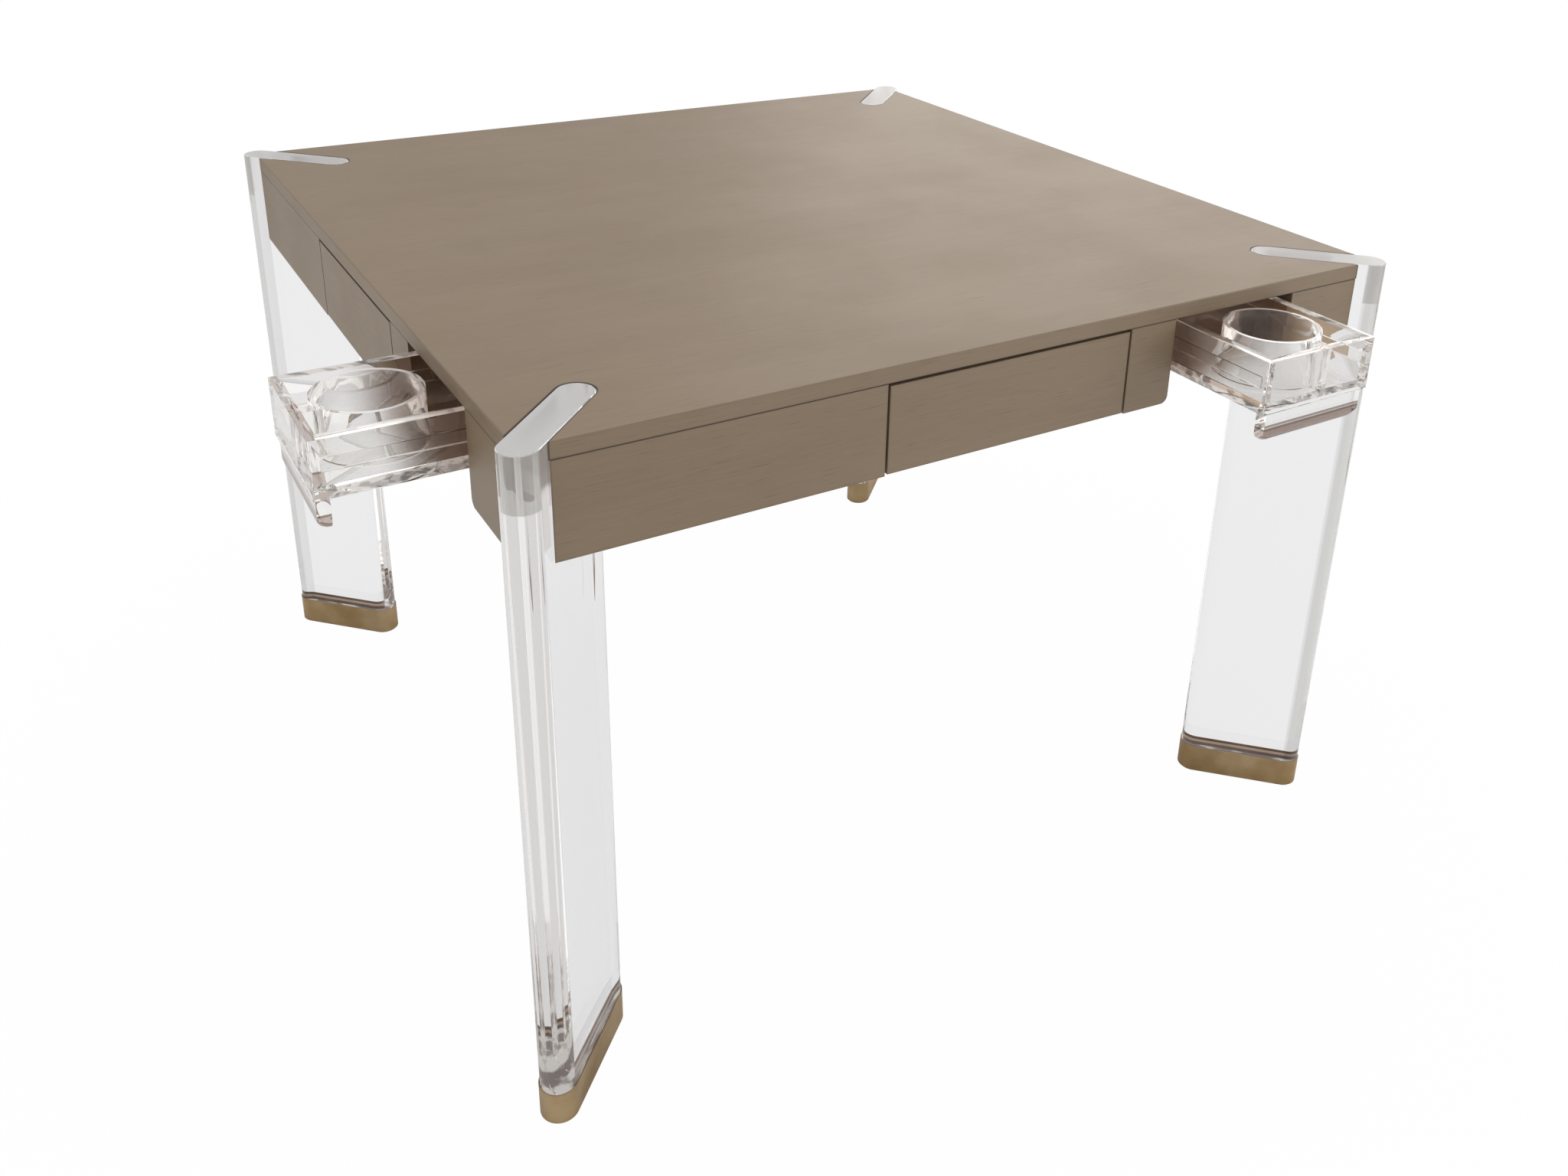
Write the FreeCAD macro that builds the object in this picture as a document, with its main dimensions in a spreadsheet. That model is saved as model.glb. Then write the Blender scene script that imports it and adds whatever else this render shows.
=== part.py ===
import FreeCAD, Part
import math
import os
import re
import Sketcher

# A square games table. Four clear slab legs stand on the diagonals and come up through
# the top. Each side has a drawer and a clear drink tray that pulls out, and every side is
# the front one turned by a quarter. All pieces are drawn in the frame of the front side:
# X runs to the right along the side, -Y points out of it and Z is up from the floor, with
# the table's own axis at X = Y = 0. The document is then moved so that its box is centred.

# Driving dimensions, in millimetres: alias, value, what it sets
SIZES = (
    ("table_width", "1066.8", "side of the square top"),
    ("table_height", "762", "floor to playing surface"),
    ("top_thick", "17.5", "thickness of the top"),
    ("top_edge_round", "1.5", "rounding of the top's upper edge"),
    ("apron_height", "100", "height of the apron panels"),
    ("panel_thick", "19", "thickness of the apron panels and drawer fronts"),
    ("joint_line", "0.8", "bevel that draws the line between top and apron"),
    ("leg_thick", "38.1", "thickness of a leg slab"),
    ("leg_width", "157", "width of a leg slab along the diagonal"),
    ("leg_overhang", "13.7", "leg's outer end beyond the top's corner"),
    ("leg_edge", "0.8", "bevel round the top of a leg"),
    ("slot_gap", "0.7", "gap between a leg and its slot in the top"),
    ("leg_panel_gap", "1.6", "gap between a leg and the ends of the panels"),
    ("cap_height", "40", "height of a foot cap"),
    ("cap_wall", "1.2", "wall of a foot cap"),
    ("cap_floor", "3", "floor of a foot cap under the leg"),
    ("cap_gap", "0.2", "gap between a leg and its foot cap"),
    ("cap_edge", "1.5", "bevel round a foot cap's lower edge"),
    ("glide_length", "110", "length of a floor glide"),
    ("glide_width", "26", "width of a floor glide"),
    ("glide_thick", "1.5", "thickness of a floor glide"),
    ("block_height", "60", "height of a leg block"),
    ("block_gap", "16", "gap between a leg block and the tray guide beside it"),
    ("screw_thick", "4.5", "shank diameter of a leg block screw"),
    ("screw_head", "9", "head diameter of a leg block screw"),
    ("screw_head_height", "3", "height of the screw's head"),
    ("screw_bite", "11", "depth of a screw in the top"),
    ("screw_gap", "0.1", "gap round a screw"),
    ("screw_inset_share", "0.3", "screw axis to the leg's face, of the block's depth"),
    ("opening_inset", "136.4", "top's corner to the tray opening"),
    ("opening_width", "182", "opening for the drink tray"),
    ("narrow_panel_width", "64", "fixed panel between drawer and tray"),
    ("drawer_shift", "10.5", "drawer front's extra reach to the left of the middle"),
    ("drawer_lift", "1.5", "drawer front's lower edge above the panels'"),
    ("reveal", "3", "gap beside and above a drawer front"),
    ("panel_corner", "9", "rounding of the lower corners beside the tray opening"),
    ("pull_radius", "12", "cove under a drawer front for the fingers"),
    ("pull_share", "0.48", "length of that cove, of the front's width"),
    ("guide_inset", "12", "drawer guide's face inside the edge of the front"),
    ("guide_thick", "22", "thickness of a drawer guide"),
    ("frame_margin", "44", "centre frame's corner beyond the drawer guide beside it"),
    ("guide_rise", "5", "lower edge of the guides above the apron's"),
    ("runner_height", "12", "height of a drawer runner"),
    ("runner_width", "12", "width of a drawer runner and kicker"),
    ("drawer_gap", "1", "sideways play of a drawer box"),
    ("run_gap", "0.3", "running gap above a runner"),
    ("kicker_height", "14", "height of the kicker strips above a drawer box"),
    ("kicker_gap", "0.5", "gap under the kicker strips"),
    ("drawer_back_gap", "12", "gap behind a closed drawer box"),
    ("drawer_board", "12", "thickness of the drawer box boards"),
    ("drawer_bottom_thick", "6", "thickness of the drawer bottom"),
    ("drawer_bottom_rise", "6", "drawer bottom above the lower edge of the sides"),
    ("drawer_travel_share", "0.81", "pull-out of a drawer, of its box's depth"),
    ("stop_thick", "15", "thickness of the stop blocks"),
    ("stop_gap", "0.5", "gap at the stops when a drawer or tray is fully out"),
    ("drawer_stop_width", "40", "width of a drawer stop"),
    ("drawer_stop_drop", "22", "height of a drawer stop"),
    ("rail_thick", "15", "thickness of the centre frame's rails"),
    ("tray_side_gap", "11", "gap between a tray and its guide wall"),
    ("tray_top_gap", "7.5", "gap between the tray's sides and the top"),
    ("tray_lift", "33", "tray's underside above the panels' lower edge"),
    ("tray_length", "240", "length of a drink tray"),
    ("tray_side_thick", "12", "thickness of the tray's side plates"),
    ("tray_plate", "10", "thickness of the tray's front, floor and back"),
    ("tray_corner", "2", "rounding of the front plate's upright edges"),
    ("tray_travel_share", "0.625", "pull-out of a drink tray, of its length"),
    ("front_out_share", "0.853", "front tray pulled out, of its travel"),
    ("left_out_share", "0.917", "left tray pulled out, of its travel"),
    ("tray_back_rise", "5.5", "back plate above the side plates"),
    ("tray_back_gap", "0.5", "gap behind a closed tray"),
    ("lip_drop", "3", "finger lip below the panels' lower edge"),
    ("lip_thick", "13", "thickness of the finger lip"),
    ("lip_setback", "2.4", "finger lip behind the tray's front face"),
    ("lip_inset", "7", "finger lip inside the tray's sides"),
    ("lip_corner", "12", "rounding of the lip's lower corners"),
    ("groove_drop", "19", "top of the runner groove below the tray's sides"),
    ("groove_height", "13.5", "height of the runner groove"),
    ("groove_depth", "4", "depth of the runner groove"),
    ("tray_wall", "12", "thickness of the tray's guide walls"),
    ("tray_stop_width", "22", "width of a tray stop"),
    ("tray_stop_gap", "1.2", "gap between tray sides and tray stops"),
    ("ring_share", "0.78", "outer diameter of the cup ring, of the tray's inner width"),
    ("ring_wall", "4.5", "wall of the cup ring"),
    ("ring_front_gap", "10.3", "gap between the ring and the front plate"),
    ("ring_clear", "4.5", "gap between the ring's rim and the top"),
    ("web_width", "14", "width of the web between ring and front plate"),
    ("web_offset", "10", "web's middle to the right of the ring's axis"),
)
QUARTER = 90
SIDES = ("front", "right", "back", "left")
CORNERS = ("front_left", "front_right", "back_right", "back_left")
UP = FreeCAD.Vector(0, 0, 1)
DIAGONAL = math.sqrt(0.5)
SNAP = 0.01

doc = FreeCAD.newDocument("games_table")
sheet = doc.addObject("Spreadsheet::Sheet", "sizes")
for row, (alias, number, note) in enumerate(SIZES, start=1):
    sheet.set(f"A{row}", alias)
    sheet.set(f"B{row}", number)
    sheet.set(f"C{row}", note)
    sheet.setAlias(f"B{row}", alias)
doc.recompute()


class Length:
    """A length that knows its value and the expression in the sheet's sizes that gives it."""

    def __init__(self, text, value):
        self.text = text
        self.value = value

    def joined(self, sign, other, value):
        return Length(f"({self.text} {sign} {as_length(other).text})", value)

    def __add__(self, other):
        return self.joined("+", other, self.value + as_length(other).value)

    def __sub__(self, other):
        return self.joined("-", other, self.value - as_length(other).value)

    def __mul__(self, factor):
        return self.joined("*", factor, self.value * as_length(factor).value)

    def __truediv__(self, factor):
        return self.joined("/", factor, self.value / factor)

    def __neg__(self):
        return Length(f"(0 - {self.text})", -self.value)


def as_length(item):
    return item if isinstance(item, Length) else Length(repr(item), item)


def size(alias):
    """The length that a cell of the sheet holds."""
    return Length(f"sizes.{alias}", float(sheet.get(alias)))


def larger(one, other):
    return Length(f"max({one.text}; {other.text})", max(one.value, other.value))


def bind(piece, target, length):
    """Tie a property to its expression in the sheet's sizes."""
    piece.setExpression(target, as_length(length).text)


# Planes that several pieces share, worked out from the sheet
half = size("table_width") / 2
under_top = size("table_height") - size("top_thick")
apron_bottom = under_top - size("apron_height")
face = -half
panel_back = face + size("panel_thick")

leg_half = size("leg_thick") / 2
leg_outer = half / DIAGONAL + size("leg_overhang")
leg_inner = leg_outer - size("leg_width")
cap_bottom = size("glide_thick")
cap_top = cap_bottom + size("cap_height")
leg_bottom = cap_bottom + size("cap_floor")
cap_grow = size("cap_gap") + size("cap_wall")

leg_face_shift = (leg_half + size("leg_panel_gap")) / DIAGONAL
opening_right = half - size("opening_inset")
opening_left = opening_right - size("opening_width")
narrow_left = opening_left - size("narrow_panel_width")
drawer_right = narrow_left - size("reveal")
drawer_left = -drawer_right - size("drawer_shift")
drawer_middle = (drawer_left + drawer_right) / 2

guide_bottom = apron_bottom + size("guide_rise")
runner_top = guide_bottom + size("runner_height")
guide_left = drawer_left + size("guide_inset")
guide_right = drawer_right - size("guide_inset")
guide_back = guide_left - size("guide_thick") - size("frame_margin")
kicker_bottom = under_top - size("kicker_height")
box_bottom = runner_top + size("run_gap")
box_top = kicker_bottom - size("kicker_gap")
box_left = guide_left + size("drawer_gap")
box_right = guide_right - size("drawer_gap")
box_back = guide_back - size("drawer_back_gap")
drawer_travel = (box_back - panel_back) * size("drawer_travel_share")

tray_left = opening_left + size("tray_side_gap")
tray_right = opening_right - size("tray_side_gap")
tray_middle = (tray_left + tray_right) / 2
tray_bottom = apron_bottom + size("tray_lift")
tray_top = under_top - size("tray_top_gap")
tray_travel = size("tray_length") * size("tray_travel_share")
tray_floor_top = tray_bottom + size("tray_plate")
tray_front_back = face + size("tray_plate")
tray_back = face + size("tray_length")
tray_back_front = tray_back - size("tray_plate")
groove_top = tray_top - size("groove_drop")
groove_bottom = groove_top - size("groove_height")
tray_inner_left = tray_left + size("tray_side_thick")
tray_inner_right = tray_right - size("tray_side_thick")
ring_radius = (tray_inner_right - tray_inner_left) * size("ring_share") / 2
ring_top = under_top - size("ring_clear")
ring_axis = tray_front_back + size("ring_front_gap") + ring_radius

# The stored pose has the front and left trays pulled out, so the box reaches further there
closed = as_length(0)
tray_out = {
    "front": tray_travel * size("front_out_share"),
    "left": tray_travel * size("left_out_share"),
}
leg_extent = (leg_outer - leg_half) * DIAGONAL + leg_half + cap_grow
centre_x = (larger(half + tray_out["left"], leg_extent) - leg_extent) / 2
centre_y = (larger(half + tray_out["front"], leg_extent) - leg_extent) / 2

nodes = []


def keep(piece, label, turn, out=closed):
    """Name a sub-part, turn it to its own side and slide it out along its travel."""
    piece.Label = label
    angle = math.radians(QUARTER * turn)
    turned = FreeCAD.Rotation(UP, QUARTER * turn)
    piece.Placement = FreeCAD.Placement(FreeCAD.Vector(), turned)
    bind(piece, "Placement.Base.x", centre_x + out * round(math.sin(angle)))
    bind(piece, "Placement.Base.y", centre_y - out * round(math.cos(angle)))
    nodes.append(piece)
    return piece


def board(name, across, depth, height):
    """A squared board between two planes in each direction."""
    box = doc.addObject("Part::Box", name)
    extents = (("Length", "x", across), ("Width", "y", depth), ("Height", "z", height))
    for side, axis, (low, high) in extents:
        bind(box, side, high - low)
        bind(box, f"Placement.Base.{axis}", low)
    return box


def rod(name, radius, height, place):
    """An upright cylinder."""
    solid = doc.addObject("Part::Cylinder", name)
    bind(solid, "Radius", radius)
    bind(solid, "Height", height)
    for axis, length in zip("xyz", place):
        bind(solid, f"Placement.Base.{axis}", length)
    return solid


def group(name, pieces):
    """Separate solids that make one sub-part."""
    compound = doc.addObject("Part::Compound", name)
    compound.Links = pieces
    return compound


def cut(name, base, tool):
    result = doc.addObject("Part::Cut", name)
    result.Base = base
    result.Tool = tool
    return result


def edges_where(shape, test):
    """Names of the edges whose end points all pass the test."""
    found = []
    for number, edge in enumerate(shape.Edges, start=1):
        if all(test(vertex.Point) for vertex in edge.Vertexes):
            found.append(f"Edge{number}")
    return found


def near(value, length):
    return abs(value - as_length(length).value) < SNAP


def new_body(name):
    return doc.addObject("PartDesign::Body", name)


def sketch_on(body, name, lift, turn=0):
    """A sketch on the body's ground plane, lifted and turned about the upright axis."""
    sketch = body.newObject("Sketcher::SketchObject", name)
    planes = [item for item in body.Origin.OriginFeatures if item.Role == "XY_Plane"]
    sketch.AttachmentSupport = [(planes[0], "")]
    sketch.MapMode = "FlatFace"
    turned = FreeCAD.Rotation(UP, turn)
    sketch.AttachmentOffset = FreeCAD.Placement(FreeCAD.Vector(), turned)
    bind(sketch, "AttachmentOffset.Base.z", lift)
    return sketch


def hold(sketch, kind, reference, name, length):
    """A named dimension of a sketch, tied to the sheet."""
    number = sketch.addConstraint(Sketcher.Constraint(kind, *reference, length.value))
    sketch.renameConstraint(number, name)
    bind(sketch, f"Constraints.{name}", length)


def draw_polygon(sketch, corners):
    """A closed outline of straight lines, each corner held by its two places."""
    points = [FreeCAD.Vector(x.value, y.value, 0) for x, y in corners]
    for start, end in zip(points, points[1:] + points[:1]):
        sketch.addGeometry(Part.LineSegment(start, end))
    count = len(points)
    for number in range(count):
        follower = (number + 1) % count
        sketch.addConstraint(Sketcher.Constraint("Coincident", number, 2, follower, 1))
    for number, (x, y) in enumerate(corners):
        hold(sketch, "DistanceX", (-1, 1, number, 1), f"across_{number}", x)
        hold(sketch, "DistanceY", (-1, 1, number, 1), f"depth_{number}", y)


def draw_circles(sketch, radius, centres):
    """Equal round holes, each held by its centre and radius."""
    for number, (x, y) in enumerate(centres):
        centre = FreeCAD.Vector(x.value, y.value, 0)
        sketch.addGeometry(Part.Circle(centre, FreeCAD.Vector(0, 0, 1), radius.value))
        hold(sketch, "Radius", (number,), f"radius_{number}", radius)
        hold(sketch, "DistanceX", (-1, 1, number, 3), f"across_{number}", x)
        hold(sketch, "DistanceY", (-1, 1, number, 3), f"depth_{number}", y)


def draw_stadium(sketch, inner, outer, radius):
    """A slot outline along the sketch's own X axis with half-round ends."""
    start = (inner + radius).value
    end = (outer - radius).value
    across = radius.value
    near_centre = FreeCAD.Vector(start, 0, 0)
    far_centre = FreeCAD.Vector(end, 0, 0)
    low = Part.LineSegment(FreeCAD.Vector(start, -across, 0), FreeCAD.Vector(end, -across, 0))
    far_round = Part.ArcOfCircle(Part.Circle(far_centre, UP, across), -math.pi / 2, math.pi / 2)
    high = Part.LineSegment(FreeCAD.Vector(end, across, 0), FreeCAD.Vector(start, across, 0))
    near_round = Part.ArcOfCircle(
        Part.Circle(near_centre, UP, across), math.pi / 2, 3 * math.pi / 2
    )
    for edge in (low, far_round, high, near_round):
        sketch.addGeometry(edge)
    for number in range(4):
        joint = Sketcher.Constraint("Tangent", number, 2, (number + 1) % 4, 1)
        sketch.addConstraint(joint)
    sketch.addConstraint(Sketcher.Constraint("Horizontal", 0))
    for arc in (1, 3):
        sketch.addConstraint(Sketcher.Constraint("PointOnObject", arc, 3, -1))
    hold(sketch, "Radius", (1,), "end_radius", radius)
    hold(sketch, "DistanceX", (-1, 1, 1, 3), "far_centre", outer - radius)
    hold(sketch, "DistanceX", (-1, 1, 3, 3), "near_centre", inner + radius)


def pad(body, sketch, name, length):
    feature = body.newObject("PartDesign::Pad", name)
    feature.Profile = sketch
    bind(feature, "Length", length)
    doc.recompute()
    return feature


def pocket(body, sketch, name, depth, upwards=False):
    """Cut down from the sketch, or up from it, and make sure that something was cut."""
    before = body.Shape.Volume
    feature = body.newObject("PartDesign::Pocket", name)
    feature.Profile = sketch
    feature.Reversed = upwards
    bind(feature, "Length", depth)
    doc.recompute()
    if not body.Shape.Volume < before:
        raise RuntimeError(f"{name} cuts nothing")
    return feature


def soften(body, kind, target, name, length, test):
    """A fillet or chamfer on the edges of the body whose ends pass the test."""
    base = body.Tip
    edges = edges_where(base.Shape, test)
    if not edges:
        raise RuntimeError(f"{name} finds no edge")
    feature = body.newObject(f"PartDesign::{kind}", name)
    feature.Base = (base, edges)
    bind(feature, target, length)
    doc.recompute()
    return feature


def quarter_copies(body, features, name):
    """The features at one corner, repeated round the table's axis."""
    pattern = body.newObject("PartDesign::PolarPattern", name)
    pattern.Originals = features
    axes = [item for item in body.Origin.OriginFeatures if item.Role == "Z_Axis"]
    pattern.Axis = (axes[0], [""])
    pattern.Angle = 360
    pattern.Occurrences = len(SIDES)
    body.Tip = pattern
    doc.recompute()
    return pattern


# The direction of the front left leg's diagonal, seen from above
CORNER_TURN = 225
panel_corner = half - size("panel_thick")
block_run = panel_corner - leg_half / DIAGONAL - opening_right - size("tray_wall") - size("block_gap")
block_length = block_run / DIAGONAL
block_outer = panel_corner / DIAGONAL - leg_half
block_inner = block_outer - block_length
block_middle = block_outer - block_length / 2
block_depth = block_length / 2
screw_across = leg_half + block_depth * size("screw_inset_share")
screw_radius = size("screw_thick") / 2
screw_places = [(block_middle, screw_across)]


def corner_place(turn, radial, across):
    """The plan place of a point given along and across the diagonal of a corner."""
    angle = math.radians(CORNER_TURN + QUARTER * turn)
    x = radial * math.cos(angle) - across * math.sin(angle)
    y = radial * math.sin(angle) + across * math.cos(angle)
    return x, y


def make_tabletop():
    """The square top, with a slot at each corner for the leg and holes for the screws."""
    body = new_body("tabletop")
    outline = sketch_on(body, "top_outline", under_top)
    corners = [(-half, -half), (half, -half), (half, half), (-half, half)]
    draw_polygon(outline, corners)
    pad(body, outline, "top_board", size("top_thick"))
    height = size("table_height")
    soften(
        body, "Fillet", "Radius", "top_edge", size("top_edge_round"),
        lambda point: near(point.z, height),
    )
    before = body.Shape.Volume
    slot = sketch_on(body, "slot_outline", height, CORNER_TURN)
    draw_stadium(
        slot, leg_inner - size("slot_gap"), leg_outer + size("leg_thick"),
        leg_half + size("slot_gap"),
    )
    slot_cut = pocket(body, slot, "leg_slot", size("top_thick"))
    holes = sketch_on(body, "screw_holes_outline", under_top, CORNER_TURN)
    draw_circles(holes, screw_radius + size("screw_gap"), screw_places)
    hole_cut = pocket(
        body, holes, "screw_holes", size("screw_bite") + size("screw_gap"), upwards=True
    )
    one_corner = before - body.Shape.Volume
    quarter_copies(body, [slot_cut, hole_cut], "corner_cuts")
    if abs(before - body.Shape.Volume - len(SIDES) * one_corner) > SNAP * one_corner:
        raise RuntimeError("the corner cuts are not repeated at every corner")
    keep(body, "tabletop", 0)


def make_leg(corner, turn):
    """A clear slab with half-round ends, from the foot cap's floor to the playing surface."""
    body = new_body(f"leg_body_{corner}")
    outline = sketch_on(body, f"leg_outline_{corner}", leg_bottom, CORNER_TURN)
    draw_stadium(outline, leg_inner, leg_outer, leg_half)
    pad(body, outline, f"leg_slab_{corner}", size("table_height") - leg_bottom)
    height = size("table_height")
    soften(
        body, "Chamfer", "Size", f"leg_edge_{corner}", size("leg_edge"),
        lambda point: near(point.z, height),
    )
    keep(body, f"leg_{corner}", turn)


def make_foot_cap(corner, turn):
    """A metal shoe that the leg stands in."""
    body = new_body(f"cap_body_{corner}")
    outline = sketch_on(body, f"cap_outline_{corner}", cap_bottom, CORNER_TURN)
    draw_stadium(outline, leg_inner - cap_grow, leg_outer + cap_grow, leg_half + cap_grow)
    pad(body, outline, f"cap_block_{corner}", size("cap_height"))
    soften(
        body, "Chamfer", "Size", f"cap_edge_{corner}", size("cap_edge"),
        lambda point: near(point.z, cap_bottom),
    )
    socket = sketch_on(body, f"socket_outline_{corner}", cap_top, CORNER_TURN)
    gap = size("cap_gap")
    draw_stadium(socket, leg_inner - gap, leg_outer + gap, leg_half + gap)
    pocket(body, socket, f"socket_{corner}", size("cap_height") - size("cap_floor"))
    keep(body, f"foot_cap_{corner}", turn)


def make_glides():
    """A flat pad stuck under each foot cap."""
    pads = []
    inner_end = (leg_inner + leg_outer - size("glide_length")) / 2
    for turn, corner in enumerate(CORNERS):
        pad_box = doc.addObject("Part::Box", f"glide_{corner}")
        bind(pad_box, "Length", size("glide_length"))
        bind(pad_box, "Width", size("glide_width"))
        bind(pad_box, "Height", size("glide_thick"))
        x, y = corner_place(turn, inner_end, -size("glide_width") / 2)
        pad_box.Placement.Rotation = FreeCAD.Rotation(UP, CORNER_TURN + QUARTER * turn)
        bind(pad_box, "Placement.Base.x", x)
        bind(pad_box, "Placement.Base.y", y)
        pads.append(pad_box)
    keep(group("glides", pads), "floor_glides", 0)


def make_panel(name, side, outline, round_at=None):
    """An apron panel: its plan raised to the top, a bevel for the joint line, and a
    rounded lower corner where it stands beside the tray opening."""
    body = new_body(f"{name}_body_{side}")
    sketch = sketch_on(body, f"{name}_outline_{side}", apron_bottom)
    draw_polygon(sketch, outline)
    pad(body, sketch, f"{name}_board_{side}", size("apron_height"))
    if round_at is not None:
        soften(
            body, "Fillet", "Radius", f"{name}_corner_{side}", size("panel_corner"),
            lambda point: near(point.z, apron_bottom) and near(point.x, round_at),
        )
    soften(
        body, "Chamfer", "Size", f"{name}_joint_{side}", size("joint_line"),
        lambda point: near(point.z, under_top) and near(point.y, face),
    )
    keep(body, f"{name}_{side}", SIDES.index(side))


def make_apron(side):
    """The three fixed panels of a side, mitred along the legs at the outer ends."""
    left_end = face + leg_face_shift
    long_right = drawer_left - size("reveal")
    make_panel("long_panel", side, [
        (left_end, face), (long_right, face), (long_right, panel_back),
        (left_end + size("panel_thick"), panel_back),
    ])
    make_panel("narrow_panel", side, [
        (narrow_left, face), (opening_left, face), (opening_left, panel_back),
        (narrow_left, panel_back),
    ], round_at=opening_left)
    right_end = half - leg_face_shift
    make_panel("end_panel", side, [
        (opening_right, face), (right_end, face),
        (right_end - size("panel_thick"), panel_back), (opening_right, panel_back),
    ], round_at=opening_right)


def make_leg_block(name, sign):
    """A three-cornered block between a leg and the back of a panel. The one beside the
    long panel has a screw hole, and the other is glued."""
    body = new_body(f"{name}_body")
    bottom = under_top - size("block_height")
    outline = sketch_on(body, f"{name}_outline", bottom, CORNER_TURN)
    draw_polygon(outline, [
        (block_inner, leg_half * sign), (block_outer, leg_half * sign),
        (block_middle, (leg_half + block_depth) * sign),
    ])
    pad(body, outline, f"{name}_wedge", size("block_height"))
    centres = [(x, y) for x, y in screw_places if y.value * sign > 0]
    if not centres:
        return body
    holes = sketch_on(body, f"{name}_holes_outline", bottom, CORNER_TURN)
    draw_circles(holes, screw_radius + size("screw_gap"), centres)
    pocket(body, holes, f"{name}_holes", size("block_height"), upwards=True)
    return body


def make_leg_blocks(corner, turn):
    pair = [
        make_leg_block(f"block_long_{corner}", 1),
        make_leg_block(f"block_end_{corner}", -1),
    ]
    keep(group(f"block_pair_{corner}", pair), f"leg_blocks_{corner}", turn)


def hex_head(name, radius, height, place):
    """A six-sided screw head."""
    head = doc.addObject("Part::Prism", name)
    bind(head, "Circumradius", radius)
    bind(head, "Height", height)
    for axis, value in zip("xyz", place):
        bind(head, f"Placement.Base.{axis}", value)
    return head


def make_screws():
    """A six-sided coach screw up through one block of each leg into the top."""
    bottom = under_top - size("block_height")
    head_height = size("screw_head_height")
    reach = size("block_height") + size("screw_bite")
    screws = []
    for turn in range(len(SIDES)):
        for radial, across in screw_places:
            x, y = corner_place(turn, radial, across)
            name = f"screw_{len(screws) + 1}"
            under = (x, y, bottom - head_height)
            head = hex_head(f"{name}_head", size("screw_head") / 2, head_height, under)
            shank = rod(f"{name}_shank", screw_radius, reach, (x, y, bottom))
            screw = doc.addObject("Part::Fuse", name)
            screw.Base = head
            screw.Tool = shank
            screws.append(screw)
    keep(group("screws", screws), "leg_block_screws", 0)


def make_drawer_guides(side, turn):
    """A wall on each side of the drawer with the runner below it and the kicker above,
    and the block under the top that the drawer's back meets when it is fully out."""
    length = (panel_back, guide_back)
    inner = size("runner_width")
    pieces = []
    walls = (
        ("left", guide_left - size("guide_thick"), guide_left, guide_left, guide_left + inner),
        ("right", guide_right, guide_right + size("guide_thick"), guide_right - inner, guide_right),
    )
    for hand, wall_low, wall_high, strip_low, strip_high in walls:
        name = f"drawer_{hand}_{side}"
        wall = board(f"{name}_wall", (wall_low, wall_high), length, (guide_bottom, under_top))
        strip = (strip_low, strip_high)
        runner = board(f"{name}_runner", strip, length, (guide_bottom, runner_top))
        kicker = board(f"{name}_kicker", strip, length, (kicker_bottom, under_top))
        pieces += [wall, runner, kicker]
    stop_back = box_back - size("drawer_board") - drawer_travel - size("stop_gap")
    stop_half = size("drawer_stop_width") / 2
    pieces.append(board(
        f"drawer_stop_{side}", (drawer_middle - stop_half, drawer_middle + stop_half),
        (stop_back - size("stop_thick"), stop_back),
        (under_top - size("drawer_stop_drop"), under_top),
    ))
    keep(group(f"drawer_guide_parts_{side}", pieces), f"drawer_guides_{side}", turn)


def make_tray_guides(side, turn):
    """The lining of the tray opening: two walls with their runner strips, a back board,
    and the two stops under the top that the tray's back plate meets when fully out."""
    wall_back = tray_back + size("tray_back_gap")
    depth = (panel_back, wall_back)
    height = (guide_bottom, under_top)
    reach = size("tray_side_gap") + size("groove_depth")
    strip_width = reach - size("run_gap")
    strip_height = (groove_bottom + size("run_gap"), groove_top - size("run_gap"))
    stop_back = tray_back_front - tray_travel - size("stop_gap")
    stop_depth = (stop_back - size("stop_thick"), stop_back)
    stop_height = (tray_top + size("tray_stop_gap"), under_top)
    wall = size("tray_wall")
    stop = size("tray_stop_width")
    pieces = [
        board(f"tray_left_wall_{side}", (opening_left - wall, opening_left), depth, height),
        board(f"tray_right_wall_{side}", (opening_right, opening_right + wall), depth, height),
        board(
            f"tray_back_board_{side}", (opening_left - wall, opening_right + wall),
            (wall_back, wall_back + wall), height,
        ),
        board(
            f"tray_left_strip_{side}", (opening_left, opening_left + strip_width),
            depth, strip_height,
        ),
        board(
            f"tray_right_strip_{side}", (opening_right - strip_width, opening_right),
            depth, strip_height,
        ),
        board(
            f"tray_left_stop_{side}", (tray_left, tray_left + stop), stop_depth, stop_height
        ),
        board(
            f"tray_right_stop_{side}", (tray_right - stop, tray_right), stop_depth, stop_height
        ),
    ]
    keep(group(f"tray_guide_parts_{side}", pieces), f"tray_guides_{side}", turn)


def make_centre_frame():
    """Four rails that close the backs of the drawer guides, each butted to the next."""
    rails = []
    edge = -guide_back
    thick = size("rail_thick")
    inner = edge - thick
    places = (
        ("front", (-edge, inner), (-edge, -inner)),
        ("right", (inner, edge), (-edge, inner)),
        ("back", (-inner, edge), (inner, edge)),
        ("left", (-edge, -inner), (-inner, edge)),
    )
    for side, across, depth in places:
        rails.append(board(f"rail_{side}", across, depth, (guide_bottom, under_top)))
    keep(group("rails", rails), "centre_frame", 0)


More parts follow.
